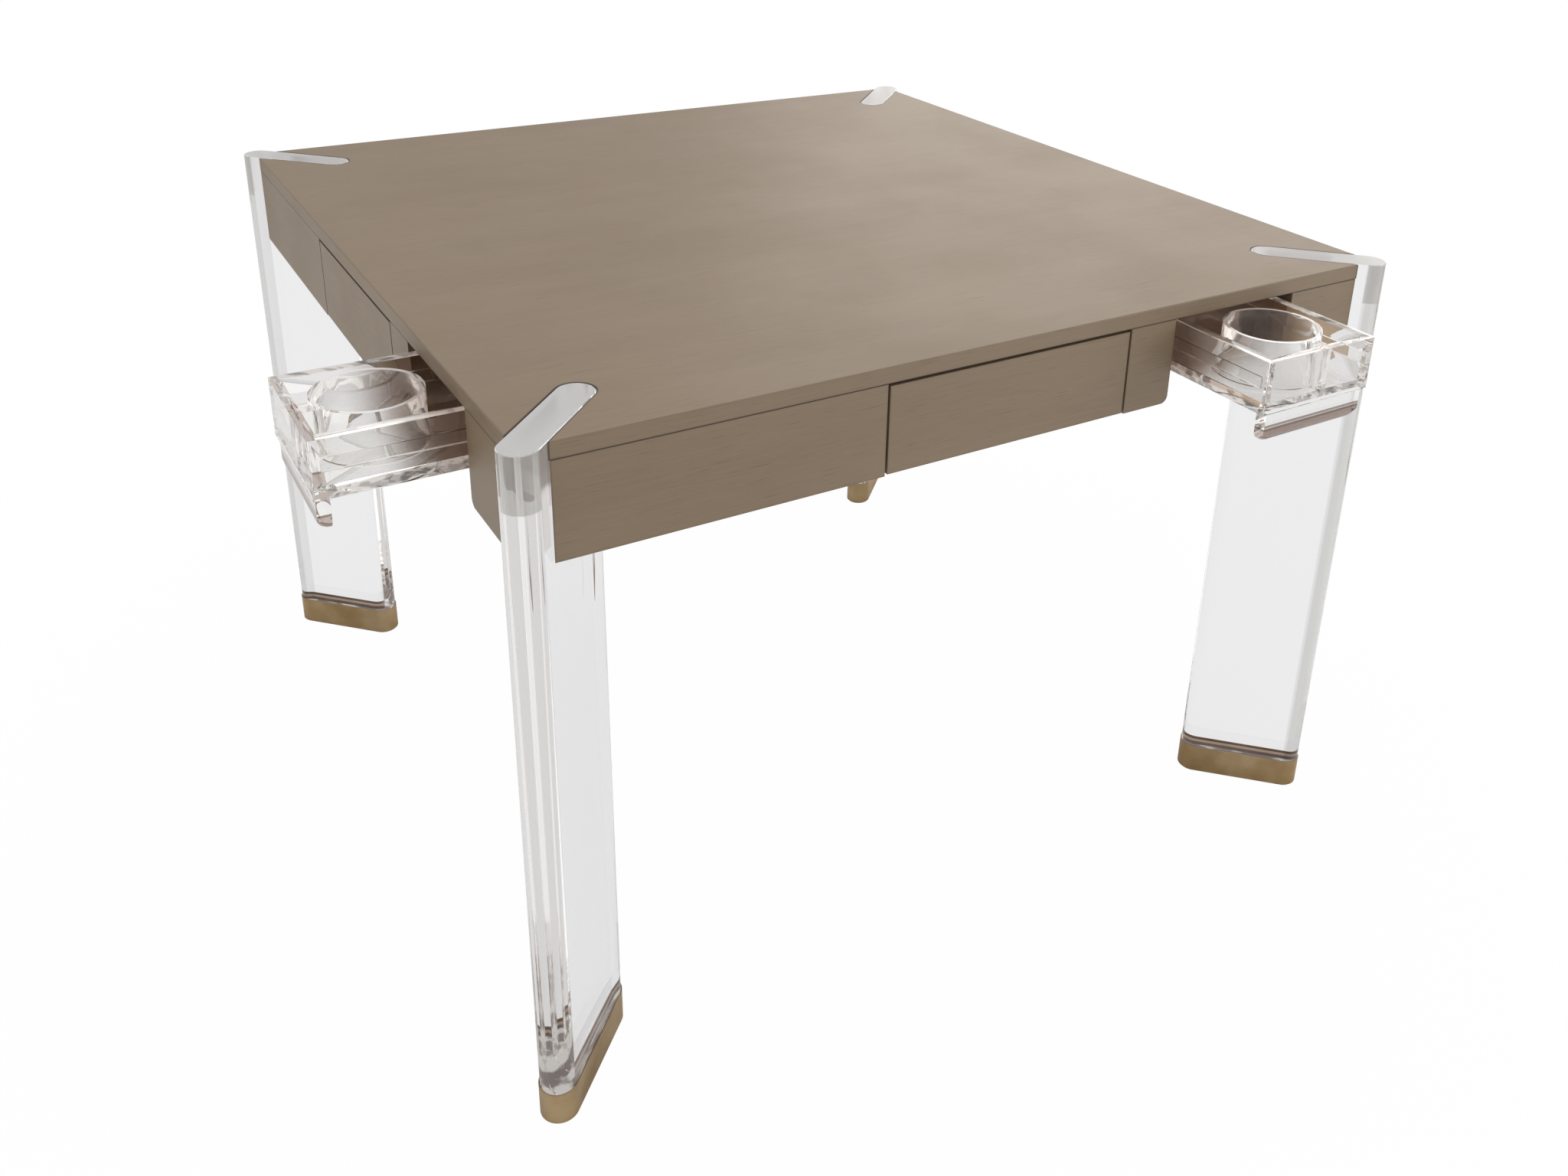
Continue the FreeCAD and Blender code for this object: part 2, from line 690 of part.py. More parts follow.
def make_drawer(side, turn):
    """A drawer: a flush front with a cove below for the fingers, and a box behind it."""
    bottom_edge = apron_bottom + size("drawer_lift")
    pull_length = (drawer_right - drawer_left) * size("pull_share")
    front = board(
        f"front_board_{side}", (drawer_left, drawer_right), (face, panel_back),
        (bottom_edge, under_top - size("reveal")),
    )
    cove = doc.addObject("Part::Cylinder", f"cove_{side}")
    cove.Placement.Rotation = FreeCAD.Rotation(FreeCAD.Vector(0, 1, 0), QUARTER)
    bind(cove, "Radius", size("pull_radius"))
    bind(cove, "Height", pull_length)
    bind(cove, "Placement.Base.x", drawer_middle - pull_length / 2)
    bind(cove, "Placement.Base.y", panel_back)
    bind(cove, "Placement.Base.z", bottom_edge)
    keep(cut(f"coved_front_{side}", front, cove), f"drawer_front_{side}", turn)

    thick = size("drawer_board")
    height = (box_bottom, box_top)
    inside = (box_left + thick, box_right - thick)
    bottom_low = box_bottom + size("drawer_bottom_rise")
    bottom = (bottom_low, bottom_low + size("drawer_bottom_thick"))
    pieces = [
        board(f"box_left_{side}", (box_left, box_left + thick), (panel_back, box_back), height),
        board(f"box_right_{side}", (box_right - thick, box_right), (panel_back, box_back), height),
        board(f"box_front_{side}", inside, (panel_back, panel_back + thick), height),
        board(f"box_rear_{side}", inside, (box_back - thick, box_back), height),
        board(f"box_floor_{side}", inside, (panel_back + thick, box_back - thick), bottom),
    ]
    keep(group(f"drawer_box_parts_{side}", pieces), f"drawer_box_{side}", turn)


def make_tray_side(side, hand, outer, inner):
    """A clear side plate with the groove that its runner strip lies in."""
    depth = (tray_front_back, tray_back)
    low = min(outer, inner, key=lambda plane: plane.value)
    high = max(outer, inner, key=lambda plane: plane.value)
    name = f"tray_{hand}_plate_{side}"
    plate = board(name, (low, high), depth, (tray_bottom, tray_top))
    groove_depth = size("groove_depth")
    if hand == "left":
        across = (outer, outer + groove_depth)
    else:
        across = (outer - groove_depth, outer)
    groove = board(f"{name}_groove", across, depth, (groove_bottom, groove_top))
    return cut(f"{name}_grooved", plate, groove)


def rounded_plate(name, across, depth, height, radius, touches):
    """A clear plate whose edges at its left and right ends are rounded where both end
    points pass the test."""
    plate = board(f"{name}_blank", across, depth, height)
    doc.recompute()
    edges = []
    for end in across:
        edges += edges_where(plate.Shape, lambda point: near(point.x, end) and touches(point))
    fillet = doc.addObject("Part::Fillet", name)
    fillet.Base = plate
    fillet.Edges = [(int(edge[len("Edge"):]), radius.value, radius.value) for edge in edges]
    return fillet


def make_tray(side, turn):
    """A clear drink tray: a box of glued plates, a cup ring on its floor, a web from the
    ring to the front plate, and a lip below the floor that the fingers pull."""
    out = tray_out.get(side, closed)
    front = rounded_plate(
        f"tray_front_plate_{side}", (tray_left, tray_right), (face, tray_front_back),
        (tray_bottom, tray_top), size("tray_corner"),
        lambda point: near(point.y, face),
    )
    keep(front, f"tray_front_{side}", turn, out)

    inside = (tray_inner_left, tray_inner_right)
    box = [
        make_tray_side(side, "left", tray_left, tray_inner_left),
        make_tray_side(side, "right", tray_right, tray_inner_right),
        board(
            f"tray_floor_{side}", inside, (tray_front_back, tray_back_front),
            (tray_bottom, tray_floor_top),
        ),
        board(
            f"tray_back_plate_{side}", inside, (tray_back_front, tray_back),
            (tray_bottom, tray_top + size("tray_back_rise")),
        ),
    ]
    keep(group(f"tray_box_parts_{side}", box), f"tray_box_{side}", turn, out)

    ring_height = ring_top - tray_floor_top
    place = (tray_middle, ring_axis, tray_floor_top)
    outside = rod(f"ring_outside_{side}", ring_radius, ring_height, place)
    bore = rod(f"ring_bore_{side}", ring_radius - size("ring_wall"), ring_height, place)
    ring = cut(f"ring_tube_{side}", outside, bore)
    web_middle = tray_middle + size("web_offset")
    web_half = size("web_width") / 2
    web_blank = board(
        f"web_blank_{side}", (web_middle - web_half, web_middle + web_half),
        (tray_front_back, ring_axis), (tray_floor_top, tray_top),
    )
    web = cut(f"web_{side}", web_blank, outside)
    keep(group(f"ring_parts_{side}", [ring, web]), f"tray_ring_{side}", turn, out)

    lip_face = face + size("lip_setback")
    lip_bottom = apron_bottom - size("lip_drop")
    lip = rounded_plate(
        f"tray_lip_plate_{side}",
        (tray_left + size("lip_inset"), tray_right - size("lip_inset")),
        (lip_face, lip_face + size("lip_thick")), (lip_bottom, tray_bottom),
        size("lip_corner"), lambda point: near(point.z, lip_bottom),
    )
    keep(lip, f"tray_lip_{side}", turn, out)


make_tabletop()
for turn, corner in enumerate(CORNERS):
    make_leg(corner, turn)
    make_foot_cap(corner, turn)
    make_leg_blocks(corner, turn)
make_glides()
make_screws()
make_centre_frame()
for turn, side in enumerate(SIDES):
    make_apron(side)
    make_drawer_guides(side, turn)
    make_tray_guides(side, turn)
    make_drawer(side, turn)
    make_tray(side, turn)
doc.recompute()

for item in doc.Objects:
    if "Invalid" in item.State or "Error" in item.State:
        raise RuntimeError(f"{item.Label} is in state {item.State}")
os.makedirs("parts", exist_ok=True)
for piece in nodes:
    shape = piece.Shape
    if shape.isNull() or not shape.isValid():
        raise RuntimeError(f"{piece.Label} has no valid shape")
    shape.exportStep(f"parts/{piece.Label}.step")
print(f"{len(nodes)} sub-parts written")
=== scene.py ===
import math

import bmesh
import bpy
import numpy as np
from mathutils import Matrix, Vector


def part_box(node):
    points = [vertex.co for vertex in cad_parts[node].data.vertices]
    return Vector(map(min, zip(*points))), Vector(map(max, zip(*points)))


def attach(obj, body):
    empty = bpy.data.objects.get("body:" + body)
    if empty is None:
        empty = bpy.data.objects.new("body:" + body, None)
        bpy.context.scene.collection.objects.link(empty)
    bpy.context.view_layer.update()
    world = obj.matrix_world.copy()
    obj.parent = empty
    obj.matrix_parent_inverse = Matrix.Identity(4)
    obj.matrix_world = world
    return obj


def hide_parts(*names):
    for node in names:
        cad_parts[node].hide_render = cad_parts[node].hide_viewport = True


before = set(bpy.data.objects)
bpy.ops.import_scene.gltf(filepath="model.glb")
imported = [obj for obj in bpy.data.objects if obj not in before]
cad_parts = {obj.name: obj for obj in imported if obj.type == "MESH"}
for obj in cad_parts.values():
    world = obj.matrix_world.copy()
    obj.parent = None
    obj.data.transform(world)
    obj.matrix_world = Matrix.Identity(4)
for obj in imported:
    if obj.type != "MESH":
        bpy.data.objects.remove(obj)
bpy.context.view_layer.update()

SIDES = ("front", "right", "back", "left")
CORNERS = ("front_left", "front_right", "back_right", "back_left")
PANELS = ("long_panel", "narrow_panel", "end_panel", "drawer_front")

# The picture and its lens in pixels, and the camera in metres and degrees. They were found
# from the table's outlines in the picture.
PICTURE = (2048, 1536)
LENS_PIXELS = 1874.1
LENS_CENTRE = (1103.3, 455.1)
CAMERA_PLACE = (-0.81406, -1.52516, 1.2989)
CAMERA_TURN = -32.284
CAMERA_HEIGHT = 22.276
CAMERA_ROLL = 1.756
CAMERA_REACH = (0.05, 100)
SENSOR = 36.0

# Finishes, and colours of painted light and shade, as linear colours.
VENEER_DARK = (0.130, 0.088, 0.050, 1)
VENEER_MID = (0.236, 0.168, 0.106, 1)
VENEER_PALE = (0.284, 0.205, 0.132, 1)
JOINT_STAIN_AND_SHADE = (0.050, 0.033, 0.022, 1)
STAIN_DARK = (0.150, 0.108, 0.080, 1)
STAIN_PALE = (0.235, 0.175, 0.135, 1)
BOX_DARK = (0.150, 0.104, 0.070, 1)
BOX_PALE = (0.270, 0.200, 0.142, 1)
BRONZE_DEEP = (0.385, 0.258, 0.124, 1)
BRONZE_PALE = (0.560, 0.418, 0.245, 1)
STEEL_DEEP = (0.36, 0.35, 0.33, 1)
STEEL_PALE = (0.60, 0.59, 0.57, 1)
PAD_DARK = (0.030, 0.026, 0.023, 1)
PAD_PALE = (0.070, 0.062, 0.055, 1)
CLEAR_LEG = (0.85, 0.85, 0.86, 1)
CLEAR_END_SHADED = (0.62, 0.615, 0.61, 1)
CLEAR_TOP = (0.53, 0.52, 0.515, 1)
CLEAR_TRAY = (0.93, 0.925, 0.915, 1)
END_PAINTED_DUSK = (0.085, 0.085, 0.083, 1)
END_PAINTED_VEIL = (0.190, 0.184, 0.174, 1)
PAINTED_WOOD_REFLECTION = (0.33, 0.262, 0.222, 1)
LIP_BAND = (0.32, 0.24, 0.20, 1)
LIP_LINE = (0.10, 0.07, 0.055, 1)
GLOW_PALE = (0.52, 0.514, 0.508, 1)
GLOW_APRON = (0.34, 0.32, 0.30, 1)
GLOW_FOOT = (0.17, 0.14, 0.12, 1)
GLOW_BRONZE = (0.16, 0.11, 0.07, 1)
GLOW_TRAY_DEEP = (0.085, 0.078, 0.074, 1)
GLOW_TRAY_PALE = (0.36, 0.34, 0.325, 1)
CAP_WALL_SHADED = (0.14, 0.105, 0.085, 1)
CAP_RIM_SHADOW = (0.042, 0.022, 0.016, 1)
CAP_TAN = (0.31, 0.225, 0.155, 1)
CAP_BROWN = (0.060, 0.036, 0.028, 1)
CAP_INSIDE_DEEP = (0.17, 0.145, 0.135, 1)
CAP_INSIDE_PALE = (0.56, 0.55, 0.53, 1)
SLOT_GREY = (0.27, 0.255, 0.245, 1)
SLOT_PALE = (0.74, 0.72, 0.71, 1)
FLOOR_MATT = (0.93, 0.93, 0.93, 1)
BOUNCED_WHITE = (0.92, 0.91, 0.90, 1)
WHITE = (1, 1, 1, 1)
BLACK = (0, 0, 0, 1)

# Heights above the floor, in metres.
SLOT_TOP = 0.7614
JOINT_HEIGHT = 0.7445
SLOT_CHANGE = 0.706
LIP_BAND_TOP = 0.6590
APRON_BOTTOM = 0.6445
CAP_FLOOR = 0.003

# Sizes of the legs, lips and trays, in metres. A leg's inner and outer lengths are those of
# the centres of its half circles, along the diagonal from the table's middle.
LEG_INNER = 0.63005
LEG_OUTER = 0.74895
LEG_HALF = 0.01905
LEG_EDGE = 0.0008
LEG_ARC_POINTS = 65
LIP_CORNER = 0.012
LIP_ARC_POINTS = 17
TRAY_EDGE = 0.0006

# Meshes: the distance at which points are one, in metres, and the angles at which an edge is
# shaded crisp, lies flat or is rounded.
MERGE = 0.000002
CREASE = math.radians(12)
FLAT = math.radians(0.5)
SHARP = 1.2

# How far some marks reach from a leg, a joint or an edge, in metres.
SLOT_WALL = 0.0018
JOINT_WIDTH = 0.0010
RUB_WIDTH = 0.0035
CAP_WITHIN = 0.0006

# Where one look starts to turn into another, and where it has turned, in metres: first by
# the height, then by the distance from a leg, along and across its diagonal, and at last
# by the distance from a tray's front.
SLOT_FADE = (SLOT_CHANGE - 0.004, SLOT_CHANGE + 0.004)
DUSK_FADE = (SLOT_CHANGE - 0.001, SLOT_CHANGE + 0.0005)
LIP_LINE_FADE = (LIP_BAND_TOP - 0.0002, LIP_BAND_TOP + 0.0002)
LIP_BAND_FADE = (LIP_BAND_TOP - 0.0028, LIP_BAND_TOP - 0.0022)
APRON_FADE = (APRON_BOTTOM - 0.01, APRON_BOTTOM + 0.01)
FOOT_FADE = (0.085, 0.091)
SLOT_LINE_FADE = (0.0012, 0.0026)
LEG_LIGHT_FADE = (0.10, 0.22)
END_FADE = (LEG_OUTER - 0.001, LEG_OUTER + 0.002)
END_EDGE_FADE = (-0.0165, -0.0100)
TRAY_BROWN_FADE = (0.062, 0.130)

# Painted bands in the glow inside a foot cap: where each starts and ends below the rim, and
# its colour.
CAP_BANDS = (
    (0.0130, 0.0120, CAP_BROWN), (0.0080, 0.0070, CAP_TAN), (0.0040, 0.0030, CAP_RIM_SHADOW),
)

# Patterns: how often each repeats in a metre along x, y and z. A veneer's own run along x.
GRAIN_SWAY = (1.4, 3.0, 3.0)
GRAIN_BAND = (0.9, 22.0, 22.0)
GRAIN_FIBRE = (20.0, 400.0, 400.0)
GRAIN_PORE = (26.0, 620.0, 620.0)
GRAIN_CLOUD = (5.0, 5.0, 9.0)
RUB_RAGGED = (90.0, 90.0, 90.0)
FOOT_STREAK = (30.0, 30.0, 260.0)
TRAY_PATCH = (55.0, 55.0, 85.0)
CAST_WAVE = (9.0, 9.0, 3.0)
VEIL_STREAK = (150.0, 150.0, 6.0)
BRUSH_LINE = (14.0, 14.0, 2200.0)
CAP_SWIRL = (26.0, 26.0, 90.0)
TURNED_RING = (60.0, 60.0, 3000.0)
BRONZE_PATCH = 16.0
PAD_PILE = 2600.0
PAD_WEAR = 60.0
SPECKS_PER_SMEAR = 40.0

# Shares of the grain's parts in the tone of the veneer and of the plain wood.
VENEER_BAND, VENEER_FIBRE, VENEER_CLOUD = 0.25, 0.40, 0.35
WOOD_BAND, WOOD_FIBRE = 0.6, 0.4

# The grain: how far it sways, how much a face looks along x where the grain turns, and how
# far it is shifted from one panel to the next and in the plain wood.
SWAY_REACH = 0.012
TURNED_FACE = 0.6
GRAIN_STEP = 0.61
WOOD_SHIFT = 3.7

# Limits between the counts of a ray's steps: its last mirror image, its last step of any
# kind, and its first one.
LAST_MIRROR = 3.5
LAST_STEP = 11.5
ONE_STEP = 0.5

# How much acrylic bends light.
ACRYLIC_BEND = 1.49

# The floor and the room: half a side, where the shadow fades, and the strength of the light.
FLOOR_HALF = 14.0
SHADOW_FADE = (0.7, 1.6)
SHADOW_WHITE = 0.98
ROOM_LIGHT = 0.60

# Each lamp's name, place, aim, size, power and colour.
LAMPS = (
    ("overhead", (0.1, 0.3, 3.4), (0.0, 0.0, 0.5), (2.8, 2.8), 22, (1, 1, 1)),
    ("left_window", (-3.2, -0.6, 1.9), (0.0, 0.0, 0.7), (2.2, 2.0), 9, (1, 1, 1)),
    ("front_right", (2.3, -2.2, 1.4), (0.3, 0.0, 0.65), (2.0, 1.8), 19, (1, 1, 1)),
    ("back_right", (3.6, 2.7, 1.9), (0.3, 0.1, 0.7), (4.0, 2.4), 45, (1.0, 0.95, 0.88)),
)


def feed(tree, node, values):
    """Gives each named input of a node a fixed value, or a link to another node."""
    for key, value in values.items():
        socket = node.inputs[key]
        if isinstance(value, bpy.types.NodeSocket):
            tree.links.new(value, socket)
        else:
            socket.default_value = value


def place(tree, kind, values, **settings):
    """A node of a shader tree with its settings, its fixed values and its links."""
    made = tree.nodes.new(kind)
    for key, value in settings.items():
        setattr(made, key, value)
    feed(tree, made, values)
    return made


def calc(tree, operation, first, second=0.0):
    """The result of one sum on values or sockets."""
    made = place(tree, "ShaderNodeMath", {0: first, 1: second}, operation=operation)
    return made.outputs[0]


def weighed(tree, *pairs):
    """The sum of some values, each times its weight."""
    shares = [calc(tree, "MULTIPLY", value, weight) for value, weight in pairs]
    total = shares[0]
    for share in shares[1:]:
        total = calc(tree, "ADD", total, share)
    return total


def vector_calc(tree, operation, *vectors):
    """The result of one sum on vectors."""
    made = place(
        tree, "ShaderNodeVectorMath", dict(enumerate(vectors)), operation=operation
    )
    return made.outputs[0]


def parts(tree, vector):
    """The x, y and z of a vector."""
    return place(tree, "ShaderNodeSeparateXYZ", {0: vector}).outputs


def joined(tree, *values):
    """A vector made of x, y and z."""
    return place(tree, "ShaderNodeCombineXYZ", dict(enumerate(values))).outputs[0]


def ramp(tree, value, low, high, to_low=0.0, to_high=1.0):
    """A value carried smoothly from one range to another, and held at its ends."""
    made = place(
        tree, "ShaderNodeMapRange",
        {"Value": value, "From Min": low, "From Max": high, "To Min": to_low,
         "To Max": to_high},
        interpolation_type="SMOOTHSTEP",
    )
    return made.outputs[0]


def tint(tree, share, first, second):
    """A colour between two others."""
    made = place(
        tree, "ShaderNodeMix", {0: share, 6: first, 7: second}, data_type="RGBA"
    )
    return made.outputs[2]


def stain(tree, mask, share, colour, other):
    """A colour carried towards another by a share of a mask."""
    return tint(tree, calc(tree, "MULTIPLY", mask, share), colour, other)


def roughened(tree, rough, mask, reach):
    """A roughness raised by a mask."""
    return calc(tree, "ADD", rough, calc(tree, "MULTIPLY", mask, reach))


def noise(tree, vector, scale, detail=3.0, rough=0.5):
    """Soft random values over a vector."""
    made = place(
        tree, "ShaderNodeTexNoise",
        {"Vector": vector, "Scale": scale, "Detail": detail, "Roughness": rough},
    )
    return made.outputs[0]


def drawn_noise(tree, vector, scales, detail=3.0, rough=0.5):
    """Soft random values that are drawn out, by a scale on each axis."""
    drawn = place(tree, "ShaderNodeMapping", {"Vector": vector, "Scale": scales})
    return noise(tree, drawn.outputs[0], 1.0, detail, rough)


def new_group(name, takes, gives):
    """An empty node group with its named sockets."""
    group = bpy.data.node_groups.new(name, "ShaderNodeTree")
    for label, kind in takes:
        group.interface.new_socket(label, in_out="INPUT", socket_type="NodeSocket" + kind)
    for label, kind in gives:
        group.interface.new_socket(label, in_out="OUTPUT", socket_type="NodeSocket" + kind)
    start = group.nodes.new("NodeGroupInput")
    end = group.nodes.new("NodeGroupOutput")
    return group, start.outputs, end.inputs


def use_group(tree, group, values):
    """A node group placed in a tree."""
    made = tree.nodes.new("ShaderNodeGroup")
    made.node_tree = group
    feed(tree, made, values)
    return made.outputs


def make_grain():
    """Straight veneer grain. It runs along x, or along y on faces that look along x, and
    is noise drawn out along that way: broad bands, fine fibres and short dark pores."""
    group, have, give = new_group(
        "grain", (("Place", "Vector"), ("Facing", "Vector"), ("Shift", "Float")),
        (("Band", "Float"), ("Fibre", "Float"), ("Pore", "Float")),
    )
    spot = parts(group, have["Place"])
    look = parts(group, have["Facing"])
    turned = calc(group, "GREATER_THAN", calc(group, "ABSOLUTE", look[0]), TURNED_FACE)
    straight = calc(group, "SUBTRACT", 1.0, turned)
    along = weighed(group, (spot[0], straight), (spot[1], turned))
    across = weighed(group, (spot[1], straight), (spot[0], turned))
    run = joined(group, calc(group, "ADD", along, have["Shift"]), across, spot[2])
    sway = drawn_noise(group, run, GRAIN_SWAY, detail=2.0)
    sway = calc(group, "MULTIPLY", sway, SWAY_REACH)
    swayed = vector_calc(group, "ADD", run, joined(group, 0.0, sway, sway))
    band = drawn_noise(group, swayed, GRAIN_BAND, detail=4.0, rough=0.55)
    fibre = drawn_noise(group, swayed, GRAIN_FIBRE, detail=4.0, rough=0.60)
    pore = drawn_noise(group, swayed, GRAIN_PORE, detail=2.0)
    group.links.new(ramp(group, band, 0.30, 0.70), give["Band"])
    group.links.new(ramp(group, fibre, 0.28, 0.72), give["Fibre"])
    group.links.new(ramp(group, pore, 0.60, 0.74), give["Pore"])
    return group


def make_joint_line():
    """A mask at one height: 1 on the joint and falling to 0 a little above and below."""
    group, have, give = new_group(
        "joint_line", (("Place", "Vector"), ("Height", "Float"), ("Width", "Float")),
        (("Line", "Float"),),
    )
    height = parts(group, have["Place"])[2]
    away = calc(group, "ABSOLUTE", calc(group, "SUBTRACT", height, have["Height"]))
    share = calc(group, "DIVIDE", away, have["Width"])
    group.links.new(ramp(group, share, 0.35, 1.0, 1.0, 0.0), give["Line"])
    return group


def make_leg_distance():
    """The level distance outwards from the nearest leg's rounded outline. It uses lengths
    along and across the diagonal, which are the same for all corners: the distance to the
    line between the centres of the leg's two half circles, less their radius. It also gives
    the length along the diagonal, and the length across it with a plus sign to the left of
    the way out."""
    group, have, give = new_group(
        "leg_distance", (("Place", "Vector"), ("Middle", "Vector")),
        (("Distance", "Float"), ("Along", "Float"), ("Across", "Float")),
    )
    away = vector_calc(group, "SUBTRACT", have["Place"], have["Middle"])
    signed = parts(group, away)
    side = calc(group, "SIGN", calc(group, "MULTIPLY", signed[0], signed[1]))
    spot = parts(group, vector_calc(group, "ABSOLUTE", away))
    diagonal = math.sqrt(0.5)
    along = calc(group, "MULTIPLY", calc(group, "ADD", spot[0], spot[1]), diagonal)
    across = calc(group, "MULTIPLY", calc(group, "SUBTRACT", spot[0], spot[1]), diagonal)
    short = calc(group, "MAXIMUM", calc(group, "SUBTRACT", LEG_INNER, along), 0.0)
    beyond = calc(group, "MAXIMUM", calc(group, "SUBTRACT", along, LEG_OUTER), 0.0)
    past = calc(group, "ADD", short, beyond)
    far = calc(group, "SQRT", weighed(group, (past, past), (across, across)))
    left = calc(group, "MULTIPLY", across, calc(group, "MULTIPLY", side, -1.0))
    group.links.new(calc(group, "SUBTRACT", far, LEG_HALF), give["Distance"])
    group.links.new(along, give["Along"])
    group.links.new(left, give["Across"])
    return group


def make_edge_rub():
    """A mask along the edges of a box-shaped piece: 1 where the second smallest of the
    three distances to its faces is nought, falling to 0 over the given width."""
    group, have, give = new_group(
        "edge_rub",
        (("Place", "Vector"), ("Middle", "Vector"), ("Half", "Vector"), ("Width", "Float")),
        (("Rub", "Float"),),
    )
    away = vector_calc(group, "SUBTRACT", have["Place"], have["Middle"])
    away = vector_calc(group, "ABSOLUTE", away)
    gaps = parts(group, vector_calc(group, "SUBTRACT", have["Half"], away))
    low = calc(group, "MINIMUM", gaps[0], gaps[1])
    high = calc(group, "MAXIMUM", gaps[0], gaps[1])
    second = calc(group, "MAXIMUM", low, calc(group, "MINIMUM", high, gaps[2]))
    ragged = drawn_noise(group, have["Place"], RUB_RAGGED)
    reach = calc(group, "MULTIPLY", have["Width"], calc(group, "ADD", ragged, 0.35))
    share = calc(group, "DIVIDE", second, reach)
    group.links.new(ramp(group, share, 0.0, 1.0, 1.0, 0.0), give["Rub"])
    return group


def make_handling():
    """Faint marks of use: broad smears and fine specks, both from noise."""
    group, have, give = new_group(
        "handling", (("Place", "Vector"), ("Size", "Float")),
        (("Smear", "Float"), ("Speck", "Float")),
    )
    scale = calc(group, "DIVIDE", 1.0, have["Size"])
    fine = calc(group, "MULTIPLY", scale, SPECKS_PER_SMEAR)
    smear = noise(group, have["Place"], scale, detail=4.0, rough=0.6)
    speck = noise(group, have["Place"], fine, detail=2.0)
    group.links.new(ramp(group, smear, 0.35, 0.70), give["Smear"])
    group.links.new(ramp(group, speck, 0.62, 0.75), give["Speck"])
    return group


grain = make_grain()
joint_line = make_joint_line()
leg_distance = make_leg_distance()
edge_rub = make_edge_rub()
handling = make_handling()


def new_material(name):
    """A material with its shader, and the object's own coordinates and facing."""
    material = bpy.data.materials.new(name)
    material.use_nodes = True
    tree = material.node_tree
    seen = tree.nodes.new("ShaderNodeTexCoord").outputs
    return material, tree, tree.nodes["Principled BSDF"], seen


def bump(tree, shader, height, distance, strength):
    """Raises the surface a little by a height."""
    made = place(
        tree, "ShaderNodeBump",
        {"Height": height, "Distance": distance, "Strength": strength},
    )
    tree.links.new(made.outputs[0], shader.inputs["Normal"])


def table_middle():
    """The middle of the table. The frame starts at the middle of the whole box, which the
    open trays make longer on two sides."""
    return sum(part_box("tabletop"), Vector((0, 0, 0))) / 2


def from_leg(tree, spot, what="Distance"):
    """The distance from the nearest leg, or the length along or across its diagonal."""
    return use_group(tree, leg_distance, {"Place": spot, "Middle": table_middle()})[what]


def spent(tree):
    """1 on a ray that has made all its reflections or steps and would end black here."""
    path = tree.nodes.new("ShaderNodeLightPath").outputs
    mirrored = calc(tree, "GREATER_THAN", path["Glossy Depth"], LAST_MIRROR)
    long_way = calc(tree, "GREATER_THAN", path["Ray Depth"], LAST_STEP)
    return calc(tree, "MAXIMUM", mirrored, long_way)


def add_glow(material, tree, shader, colour, share=0.0):
    """Gives the rays that end here the light that they would have gathered further on,
    and all rays a share of it."""
    mask = calc(tree, "MAXIMUM", spent(tree), share)
    glow = tint(tree, mask, BLACK, colour)
    tree.links.new(glow, shader.inputs["Emission Color"])
    shader.inputs["Emission Strength"].default_value = 1.0
    material.cycles.emission_sampling = "NONE"


def wood_glow(material, tree, shader, colour, spot):
    """Light on wood that is seen through clear plastic, which would carry daylight there. A
    slot's wall beside a leg shows as a grey mirror above and a pale one below. Other wood
    shows a share of its own colour, more of it near a leg or after a bounce."""
    height = parts(tree, spot)[2]
    away = from_leg(tree, spot)
    path = tree.nodes.new("ShaderNodeLightPath").outputs
    through = calc(tree, "GREATER_THAN", path["Transmission Depth"], ONE_STEP)
    bounced = calc(tree, "GREATER_THAN", path["Glossy Depth"], ONE_STEP)
    beside = calc(tree, "LESS_THAN", away, SLOT_WALL)
    under = calc(tree, "LESS_THAN", height, SLOT_TOP)
    slot = calc(tree, "MULTIPLY", calc(tree, "MULTIPLY", beside, under), through)
    wall = tint(tree, ramp(tree, height, *SLOT_FADE), SLOT_PALE, SLOT_GREY)
    near = ramp(tree, away, *LEG_LIGHT_FADE, 0.70, 0.22)
    share = calc(tree, "MAXIMUM", near, calc(tree, "MULTIPLY", bounced, 0.5))
    share = calc(tree, "MAXIMUM", slot, calc(tree, "MULTIPLY", through, share))
    add_glow(material, tree, shader, tint(tree, slot, colour, wall), share)


